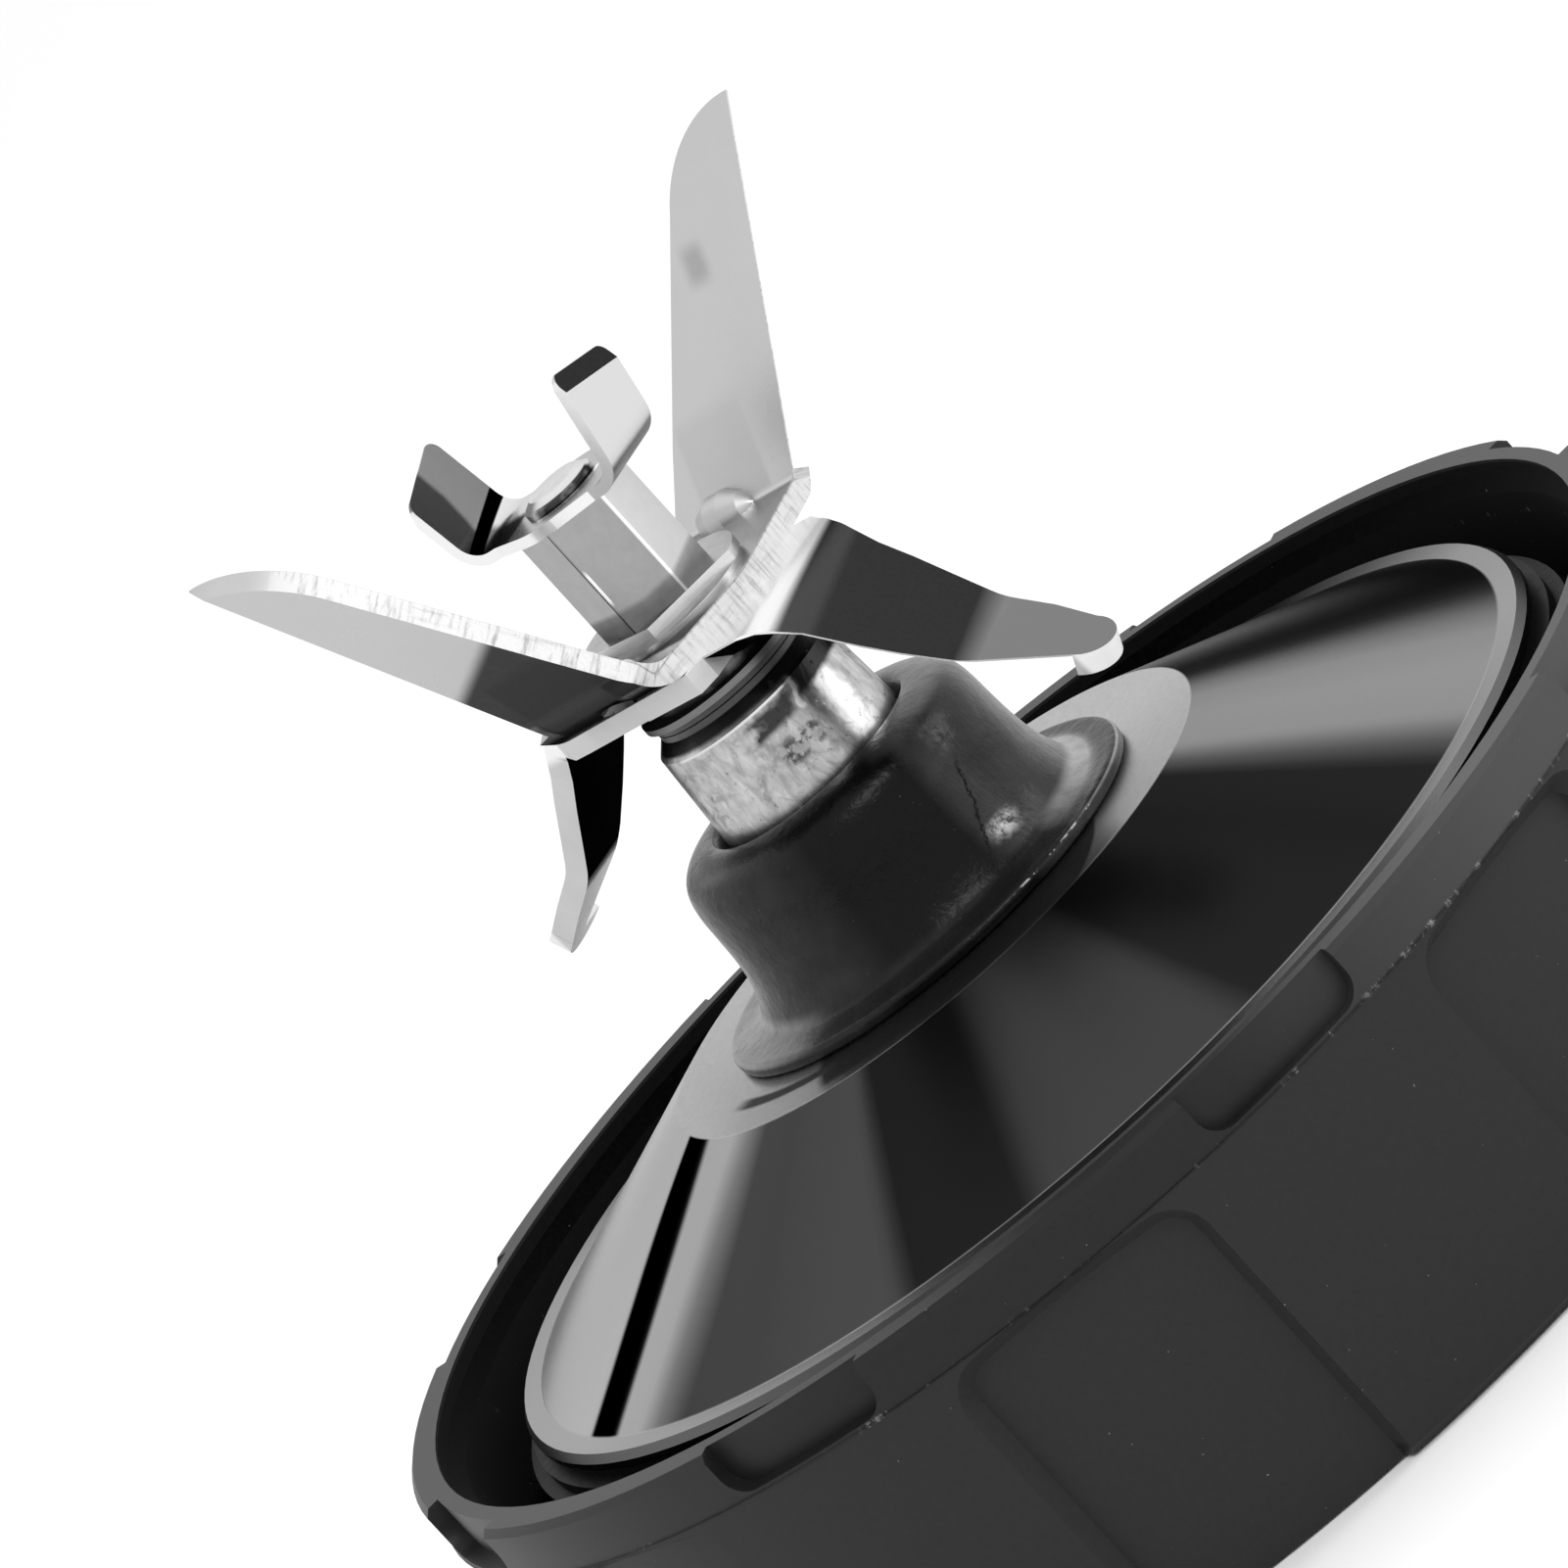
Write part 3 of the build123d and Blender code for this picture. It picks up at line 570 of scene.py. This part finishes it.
def thread_runs():
    """Four short raised runs on the collar's inner wall, which take the jar's thread."""
    root_r, crest_r = 50.85, 49.5
    start_z, rise = 17.0, 2.4
    end_half, growth, flank = 0.55, 0.2, 0.55
    crest_share = 0.75
    runs, first, arc, steps = 4, -34.0, 62.0, 48
    ramps = 9      # a run rises and falls over one part in this many of its length
    verts = []
    faces = []
    for k in range(runs):
        base = len(verts)
        for i in range(steps + 1):
            share = i / steps
            turn = math.radians(first + 360 / runs * k + arc * share)
            full = min(1.0, share * ramps, (1 - share) * ramps)
            crest = root_r - (root_r - crest_r) * math.sin(full * math.pi / 2)
            middle = start_z + rise * share
            half = end_half + growth * full
            root_half, crest_half = half + flank, half * crest_share
            section = (
                (root_r, -root_half),
                (crest, -crest_half),
                (crest, crest_half),
                (root_r, root_half),
            )
            for r, z in section:
                verts.append((r * math.cos(turn), r * math.sin(turn), middle + z))
        for i in range(steps):
            a = base + 4 * i
            b = a + 4
            for j in range(4):
                m = (j + 1) % 4
                faces.append((a + j, a + m, b + m, b + j))
        faces.append((base + 3, base + 2, base + 1, base))
        end = base + 4 * steps
        faces.append((end, end + 1, end + 2, end + 3))
    return make_piece("jar_thread_runs", verts, faces, collar_plastic, "base")


thread_runs()


# Worn cast sleeve

def sleeve_material():
    """Worn casting: pale streaks, painted reflection round it with one painted highlight stripe, and
    painted shade in a shallow recess near the top.
    """
    s = Sheet("cast_housing")
    wobble = s.sub(s.noise(0.35, 3, 0.5), 0.5)
    az = s.add(s.azimuth(), s.mul(wobble, 14))
    z = s.add(s.z, wobble)
    streaks = s.noise(0.7, 4, 0.62, (1.7, 1.7, 0.7), distortion=0.5)
    # Painted reflection round the sleeve, darker towards the camera, with one bright painted
    # highlight stripe
    tone = s.along(az, (0, 0.45), (130, 0.44), (150, 0.53), (200, 0.50), (214, 0.40),
                   (244, 0.36), (255, 0.40), (259, 0.97), (269, 0.97), (276, 0.48), (300, 0.52),
                   (360, 0.45))
    tone = s.add(tone, s.sway(streaks, 0.7))
    blots = s.step(s.noise(0.55, 5, 0.65, distortion=0.8), 0.5, 0.64)
    tone = s.mul(tone, s.mix(blots, 1.0, 0.7))

    # Smudge, painted shade in a shallow recess near the top, and painted shade under the blades on
    # the right
    broken = s.step(s.noise(0.9, 4, 0.6), 0.44, 0.58)
    smudge = s.both(s.near(az, 231, 10, 8), s.near(z, sleeve_top - 4.8, 0.5, 0.8), broken)
    tone = s.mix(smudge, tone, 0.07)
    ragged = s.step(s.noise(0.5, 3, 0.55), 0.3, 0.52)
    sloped_z = s.sub(z, s.sway(az, 0.012, 227))
    recess_shade = s.both(s.near(az, 227, 13, 7), s.near(sloped_z, sleeve_top - 2.2, 0.5, 0.6), ragged)
    tone = s.mix(recess_shade, tone, 0.045)
    shade = s.both(
        s.between(az, (247, 251), (330, 320)),
        s.step(z, sleeve_top - 2.7, sleeve_top - 2.1),
    )
    tone = s.mix(shade, tone, 0.05)

    # Painted highlight under the chamfer and down the recess's side, then the dark chamfer
    line = s.both(
        s.near(s.z, sleeve_top - 1.0, 0.1, 0.15),
        s.between(az, (160, 170), (246, 240)),
    )
    side = s.both(s.near(az, 247, 0.8, 1.2), s.near(z, sleeve_top - 2.0, 0.9, 0.4))
    tone = s.mix(s.larger(line, side), tone, 0.72)
    tone = s.mix(s.step(s.z, sleeve_top - 0.85, sleeve_top - 0.6), tone, 0.075)

    pits = s.step(s.noise(1.6, 5, 0.7, (1, 1, 0.7)), 0.62, 0.72)
    tone = s.clamp(s.mul(tone, s.mix(pits, 1.0, 0.35)), 0.02)
    s.bump(s.sub(s.mul(streaks, 0.5), s.mul(pits, 0.5)), 0.35, 0.2)
    return s.steel(tone, s.add(0.3, s.mul(pits, 0.25)))


dress(sleeve_material(), "bearing_housing")


# Turned and plain metal

def turned_steel(name, base, base_rough, spread=0.36):
    """Metal with fine lines round it."""
    s = Sheet(name)
    lines = s.noise(6, 2, 0.5, (0.15, 0.15, 3.0))
    cloud = s.noise(0.5, 3, 0.55)
    tone = s.mul(base, s.add(1.0, s.sway(s.add(lines, cloud), spread, 1.0)))
    s.bump(lines, 0.15, 0.03)
    return s.steel(tone, s.add(base_rough, s.sway(cloud, 0.12)))


def shaft_material():
    """Turned shaft with a bright riveted head whose edge has a painted dark reflection on one side.
    """
    s = Sheet("shaft_steel")
    head_z = 75.3      # the head's edge
    az = s.azimuth()
    lines = s.noise(6, 2, 0.5, (0.15, 0.15, 3.0))
    cloud = s.noise(0.6, 3, 0.55)
    tone = s.mix(s.step(s.z, 62, 64), 0.22, 0.85)
    # Painted dark reflection on the side of the head's edge towards the camera, with some lighter
    # streaks
    painted_shading = s.both(
        s.step(s.z, head_z + 0.04, head_z - 0.04),
        s.step(s.nz, 0.93, 0.85),
        s.between(az, (165, 180), (300, 285)),
    )
    tone = s.mix(painted_shading, tone, s.mix(s.step(cloud, 0.45, 0.6), 0.07, 0.2))
    tone = s.mul(tone, s.add(0.92, s.sway(lines, 0.2)))
    s.bump(lines, 0.15, 0.03)
    return s.steel(tone, s.add(0.28, s.mul(cloud, 0.1)))


def washer_material():
    """Smooth dark disc."""
    s = Sheet("dark_washer")
    cloud = s.noise(0.9, 3, 0.5)
    s.bump(s.noise(9, 2, 0.5), 0.15, 0.05)
    return s.plastic(s.add(0.05, s.sway(cloud, 0.06)), s.add(0.3, s.mul(cloud, 0.2)))


def coupling_material():
    """Grained dark plastic."""
    s = Sheet("coupling_plastic")
    grain = s.noise(2.5, 4, 0.6)
    s.bump(grain, 0.2, 0.08)
    return s.plastic(s.add(0.02, s.sway(grain, 0.012)), s.add(0.45, s.sway(grain, 0.15)))


def spacer_material():
    """Hexagon with painted light and dark sides, a painted glint, and painted shade at its foot."""
    s = Sheet("spacer_steel")
    az = s.azimuth()
    cloud = s.noise(0.8, 4, 0.6)
    # Painted light and dark on the hexagon's sides, and a painted glint
    tone = s.along(az, (0, 0.5), (100, 0.46), (187.2, 0.46), (188.2, 0.12), (189.3, 0.12),
                   (190.2, 0.34), (240, 0.33), (248.0, 0.33), (248.6, 1.0), (250.8, 1.0),
                   (251.6, 0.57), (360, 0.5))
    glint = s.both(s.near(az, 191.6, 0.8, 0.6), s.near(s.z, 68.8, 1.0, 0.8))
    tone = s.mix(glint, tone, 0.9)
    # Painted shade at the foot, whose height changes round it
    foot = s.along(az, (100, 0.2), (190, 0.5), (215, 0.1), (250, 0.2), (310, 0.5))
    foot_shade = s.along(s.sub(s.z, foot), (64, 0.5), (65.2, 0.42), (65.9, 0.55), (66.3, 1.0), (74, 1.05))
    tone = s.clamp(s.add(s.mul(tone, foot_shade), s.sway(cloud, 0.10)), 0.02)
    s.bump(cloud, 0.15, 0.08)
    return s.steel(tone, s.add(0.26, s.mul(cloud, 0.1)))


dress(turned_steel("plain_steel", 0.52, 0.3),
      "housing_washer", "housing_nut", "lock_washer", "retaining_clip", "coupling_pin")
# Darker turned steel for the seat washer under the blades
dress(turned_steel("dark_turned_steel", 0.2, 0.4), "seat_washer")
dress(shaft_material(), "drive_shaft")
dress(turned_steel("bronze", 0.3, 0.42), "upper_bushing", "lower_bushing")
dress(washer_material(), "wear_washer", "thrust_washer", "drive_washer")
dress(coupling_material(), "drive_coupling")
dress(spacer_material(), "hex_spacer")
dress(turned_steel("flange_steel", 0.62, 0.3, 0.18), "flange_washer")


# Blades

def sheared(s, length, depth):
    """Tone of a cut edge: bright and rough, streaked across and along the sheet's thickness."""
    place = s.join(length, 0.0, depth)
    upright = s.noise(2.2, 4, 0.7, (1, 1, 0.14), place)
    level = s.noise(0.9, 4, 0.6, (0.25, 1, 1.6), place)
    tone = s.along(length, (-12, 0.66), (0, 0.62), (12, 0.66), (26, 0.72))
    tone = s.sub(tone, s.mul(s.step(upright, 0.46, 0.72), 0.3))
    tone = s.sub(tone, s.mul(s.step(level, 0.52, 0.72), 0.12))
    return s.sub(tone, s.mul(s.near(depth, -0.05, 0.03, 0.08), 0.25))


def wing_place(s, bend_x, degrees):
    """Distance along a main wing from its bend, and inward from its inner face."""
    sign = math.copysign(1, bend_x)
    slope = math.radians(degrees)
    x = s.sub(s.x, bend_x)
    z = s.sub(s.z, main_face)
    along = s.add(s.mul(x, sign * math.cos(slope)), s.mul(z, math.sin(slope)))
    inward = s.add(s.mul(x, -sign * math.sin(slope)), s.mul(z, math.cos(slope)))
    return along, inward


def main_blade_material():
    """Broad blade: pale inner faces, outer faces with painted reflection bands, a plate with painted
    reflections and shade, rough bright cut edges.
    """
    s = Sheet("main_blade_steel")
    left_bend = (-10.7, 70)     # along X, and degrees that the wing is bent up
    right_bend = (12.0, 60)
    cloud = s.noise(0.22, 3, 0.5)
    fine = s.noise(3.5, 3, 0.6)
    width = s.size(s.y)
    on_right = s.step(s.x, -0.1, 0.1)
    left_up, left_in = wing_place(s, *left_bend)
    right_up, right_in = wing_place(s, *right_bend)
    up = s.mix(on_right, left_up, right_up)
    side = s.mul(s.y, s.mul(s.sign(s.x), -1.0))

    # Inner faces, with a smudge on the right wing
    light = s.add(0.56, s.sway(cloud, 0.05))
    smudge = s.both(
        s.near(right_up, 16.5, 0.5, 1.6),
        s.near(s.y, -4.3, 0.3, 1.4),
        s.step(s.x, 10, 11),
    )
    light = s.sub(light, s.mul(smudge, 0.16))

    # Outer faces: painted reflection bands, dark below and pale above, and a painted reflection along
    # the fold at the bend
    reflection_bands = s.mix(s.step(up, 3.4, 2.0), 0.075, 0.12)
    reflection_bands = s.mix(s.step(s.add(up, s.mul(side, 0.49)), 9.6, 11.1), reflection_bands, 0.55)
    fold_reflection = s.along(side, (-7, 0.34), (-3.4, 0.32), (-2.7, 0.05), (-1.2, 0.05), (0.0, 0.12), (7, 0.12))
    reflection_bands = s.mix(s.step(up, 0.95, 0.6), reflection_bands, fold_reflection)
    start = s.both(s.step(side, 3.5, 3.9), s.step(up, 2.8, 2.2))
    reflection_bands = s.mix(start, reflection_bands, 0.34)
    outer = s.larger(
        s.mul(s.step(s.nx, -0.3, -0.5), s.step(s.x, -7.0, -8.0)),
        s.mul(s.step(s.nx, 0.3, 0.5), s.step(s.x, 7.0, 8.0)),
    )
    tone = s.mix(outer, light, reflection_bands)

    # Plate, with painted reflections across its upper face and painted shade on its underside
    plate = s.along(s.x, (-13, 0.6), (-8.5, 0.6), (-8.1, 0.98), (-7.0, 0.98), (-6.6, 0.30),
                    (-4.3, 0.33), (-2.6, 0.64), (0, 0.56), (2, 0.66), (13, 0.63))
    plate = s.add(plate, s.sway(cloud, 0.12))
    tone = s.mix(s.step(s.nz, 0.6, 0.9), tone, plate)
    tone = s.mix(s.step(s.nz, -0.6, -0.8), tone, 0.12)

    # Cut edges; the press marks' hollows aren't among them
    hollow = s.both(s.step(width, 3.3, 3.1), s.step(s.z, main_face + 4.7, main_face + 4.3))
    edge = s.mul(s.step(s.size(s.ny), 0.45, 0.7), s.sub(1.0, hollow))
    past_bend = s.step(up, -0.3, 0.3)
    depth = s.mix(past_bend, s.sub(s.z, main_face), s.mul(s.mix(on_right, left_in, right_in), -1.0))
    length = s.mix(past_bend, s.mul(s.size(s.x), -1.0), up)
    edge_tone = s.mix(s.step(up, 23.8, 24.1), sheared(s, length, depth), 0.60)
    tone = s.mix(edge, tone, edge_tone)
    tone = s.clamp(s.add(tone, s.sway(fine, 0.02)))

    press = s.both(
        s.step(s.size(s.x), 9, 10),
        s.between(s.z, (main_face + 0.1, main_face + 0.5), (main_face + 7, main_face + 5.5)),
        s.step(width, 3.7, 3.2),
    )
    face_rough = s.mix(press, s.add(0.24, s.mul(cloud, 0.08)), 0.5)
    s.bump(s.mul(fine, s.mix(edge, 0.1, 1.0)), 0.3, 0.12)
    return s.steel(tone, s.mix(edge, face_rough, 0.5), s.mix(edge, 1.0, 0.4))


def lower_blade_material():
    """Long blade with painted reflections: bright plate, dark wing that pales at its tip, bright cut
    edge, and a painted highlight on its nose and upper edges.
    """
    s = Sheet("lower_blade_steel")
    wing_up, wing_out = 0.87, 0.49     # the wing's own normal
    cloud = s.noise(0.25, 3, 0.5)
    fine = s.noise(3.5, 3, 0.6)
    out = s.size(s.y)
    across = s.mul(s.x, s.mul(s.sign(s.y), -1.0))
    # Painted reflections: the plate bright, the wing dark and paler at its tip, and below, dark under
    # the plate and pale under the wing's tip
    top_reflection_tone = s.along(s.add(out, s.mul(across, 0.11)), (0, 0.95), (11.2, 0.98), (11.7, 0.94),
                       (12.3, 0.078), (13.6, 0.072), (14.1, 0.042), (20.7, 0.040), (22.2, 0.255),
                       (31, 0.25))
    under_reflection_tone = s.along(out, (0, 0.10), (12, 0.06), (20.3, 0.05), (21.2, 0.9), (31, 0.97))
    tone = s.mix(s.step(s.nz, 0.0, 0.2), under_reflection_tone, top_reflection_tone)

    # A cut edge faces neither up nor down: on the wing, neither along the wing's own normal
    sideways = s.mul(s.ny, s.sign(s.y))
    facing = s.size(s.add(s.mul(s.nz, wing_up), s.mul(sideways, wing_out)))
    plate_edge = s.step(s.size(s.nz), 0.45, 0.25)
    wing_edge = s.step(facing, 0.55, 0.35)
    edge = s.mix(s.step(out, 12, 14), plate_edge, wing_edge)
    # Painted highlight, near white, on the cut edges of the nose and high on the wing
    nose = s.step(out, 28.2, 28.8)
    upper = s.both(s.step(s.z, 59.3, 60.3), s.step(out, 9.6, 10.4))
    band = s.add(0.62, s.sway(cloud, 0.12))
    band = s.mix(s.larger(upper, nose), band, 0.98)
    tone = s.mix(edge, tone, band)
    tone = s.clamp(s.add(tone, s.sway(fine, 0.015)))

    rough = s.mix(edge, s.add(0.22, s.mul(cloud, 0.08)), 0.42)
    s.bump(s.mul(fine, s.mix(edge, 0.1, 0.7)), 0.3, 0.12)
    return s.steel(tone, rough, s.mix(edge, 1.0, s.mix(nose, 0.4, 0.0)))


def top_blade_material():
    """Small blade with painted reflections: bright plate with the head's dark reflection and a bright
    ring painted on it, upright wings painted part light, part dark.
    """
    s = Sheet("top_blade_steel")
    turn = math.radians(-85)    # the plate's, from the main blade's
    lean = math.radians(78)     # how far the wings are bent up
    bend = 7.0                  # from the axis
    out = s.add(s.mul(s.x, math.cos(turn)), s.mul(s.y, math.sin(turn)))
    across = s.sub(s.mul(s.y, math.cos(turn)), s.mul(s.x, math.sin(turn)))
    facing = s.add(s.mul(s.nx, math.cos(turn)), s.mul(s.ny, math.sin(turn)))
    fine = s.noise(3.0, 3, 0.5)

    # Left wing's inner face, with places up the wing from its bend and across it; painted reflection
    # splits it light and dark, with a black band near the bend and a root painted light on one side,
    # darker on the other
    up = s.add(
        s.mul(s.add(out, bend), -math.cos(lean)),
        s.mul(s.sub(s.z, top_face), math.sin(lean)),
    )
    side = s.mul(across, -1.0)
    reflection_parting = s.along(up, (0, 0.5), (0.9, 0.24), (2.0, 0.14), (4.22, 0.02), (7.5, 0.0))
    left_tone = s.mix(s.step(s.sub(side, s.mul(reflection_parting, 4.0)), -0.3, 0.3), 0.112, 0.028)
    left_tone = s.mix(s.step(s.add(up, s.mul(side, 0.2)), 1.32, 1.2), left_tone, 0.0)
    root_tone = s.mix(s.step(side, -0.7, 0.5), 0.78, 0.22)
    left_tone = s.mix(s.step(s.add(up, s.mul(side, 0.14)), 0.38, 0.26), left_tone, root_tone)
    left_wing = s.mul(s.step(out, -4.5, -5.5), s.step(facing, 0.1, 0.3))

    # Right wing's outer face, whose ground edge is dark, and the plate
    right_tone = s.mix(s.step(s.nz, 0.0, 0.15), 0.64, 0.045)
    right_wing = s.mul(s.step(out, 4.5, 5.5), s.step(facing, 0.2, 0.4))
    tone = s.mix(right_wing, s.mix(s.step(s.nz, 0.5, 0.8), 0.86, 0.66), right_tone)
    left_plate = s.both(s.step(out, -3.0, -3.6), s.step(s.nz, 0.3, 0.5))
    tone = s.mix(left_plate, tone, root_tone)
    tone = s.mix(left_wing, tone, left_tone)

    # The riveted head's painted dark reflection on the plate, and a painted highlight ring round it,
    # on the camera's side
    r = s.radius()
    seen = s.both(s.step(s.nz, 0.9, 0.97), s.between(s.azimuth(), (170, 190), (300, 280)))
    tone = s.mix(s.both(seen, s.step(r, 3.25, 3.1)), tone, 0.12)
    tone = s.mix(s.both(seen, s.near(r, 3.5, 0.15, 0.1)), tone, 0.98)
    tone = s.clamp(s.add(tone, s.sway(fine, 0.012)))
    s.bump(fine, 0.02, 0.03)
    return s.steel(tone, s.add(0.2, s.mul(fine, 0.06)))


dress(main_blade_material(), "main_blade")
dress(lower_blade_material(), "lower_blade")
dress(top_blade_material(), "top_blade")


# Floor, world and lights, in metres and watts

def stage():
    """A pale floor just under the part."""
    half, drop, tone = 6.0, 0.0002, 0.93
    mesh = bpy.data.meshes.new("floor")
    corners = [(-half, -half, 0), (half, -half, 0), (half, half, 0), (-half, half, 0)]
    mesh.from_pydata(corners, [], [(0, 1, 2, 3)])
    floor = bpy.data.objects.new("floor", mesh)
    floor.location.z = -drop
    scene.collection.objects.link(floor)
    mat = bpy.data.materials.new("floor")
    mat.use_nodes = True
    shader = mat.node_tree.nodes["Principled BSDF"]
    shader.inputs["Base Color"].default_value = (tone, tone, tone, 1)
    shader.inputs["Roughness"].default_value = 0.9
    shader.inputs["Specular IOR Level"].default_value = 0.1
    mesh.materials.append(mat)


def white_world():
    world = bpy.data.worlds.new("studio")
    world.use_nodes = True
    background = world.node_tree.nodes["Background"]
    background.inputs["Color"].default_value = (1, 1, 1, 1)
    background.inputs["Strength"].default_value = 1.0
    scene.world = world


def area(name, place, target, size, power):
    """A rectangular lamp that faces a target."""
    data = bpy.data.lights.new(name, "AREA")
    data.shape = "RECTANGLE"
    data.size, data.size_y = size
    data.energy = power
    lamp = bpy.data.objects.new(name, data)
    lamp.location = place
    lamp.rotation_mode = "QUATERNION"
    lamp.rotation_quaternion = (Vector(target) - Vector(place)).to_track_quat("-Z", "Y")
    scene.collection.objects.link(lamp)


stage()
white_world()
area("key", place=(-0.35, -0.75, 0.75), target=(0, 0, 0.04), size=(0.35, 0.35), power=3.0)
area("side", place=(0.55, -0.55, 0.35), target=(0, 0, 0.045), size=(0.18, 0.4), power=1.5)
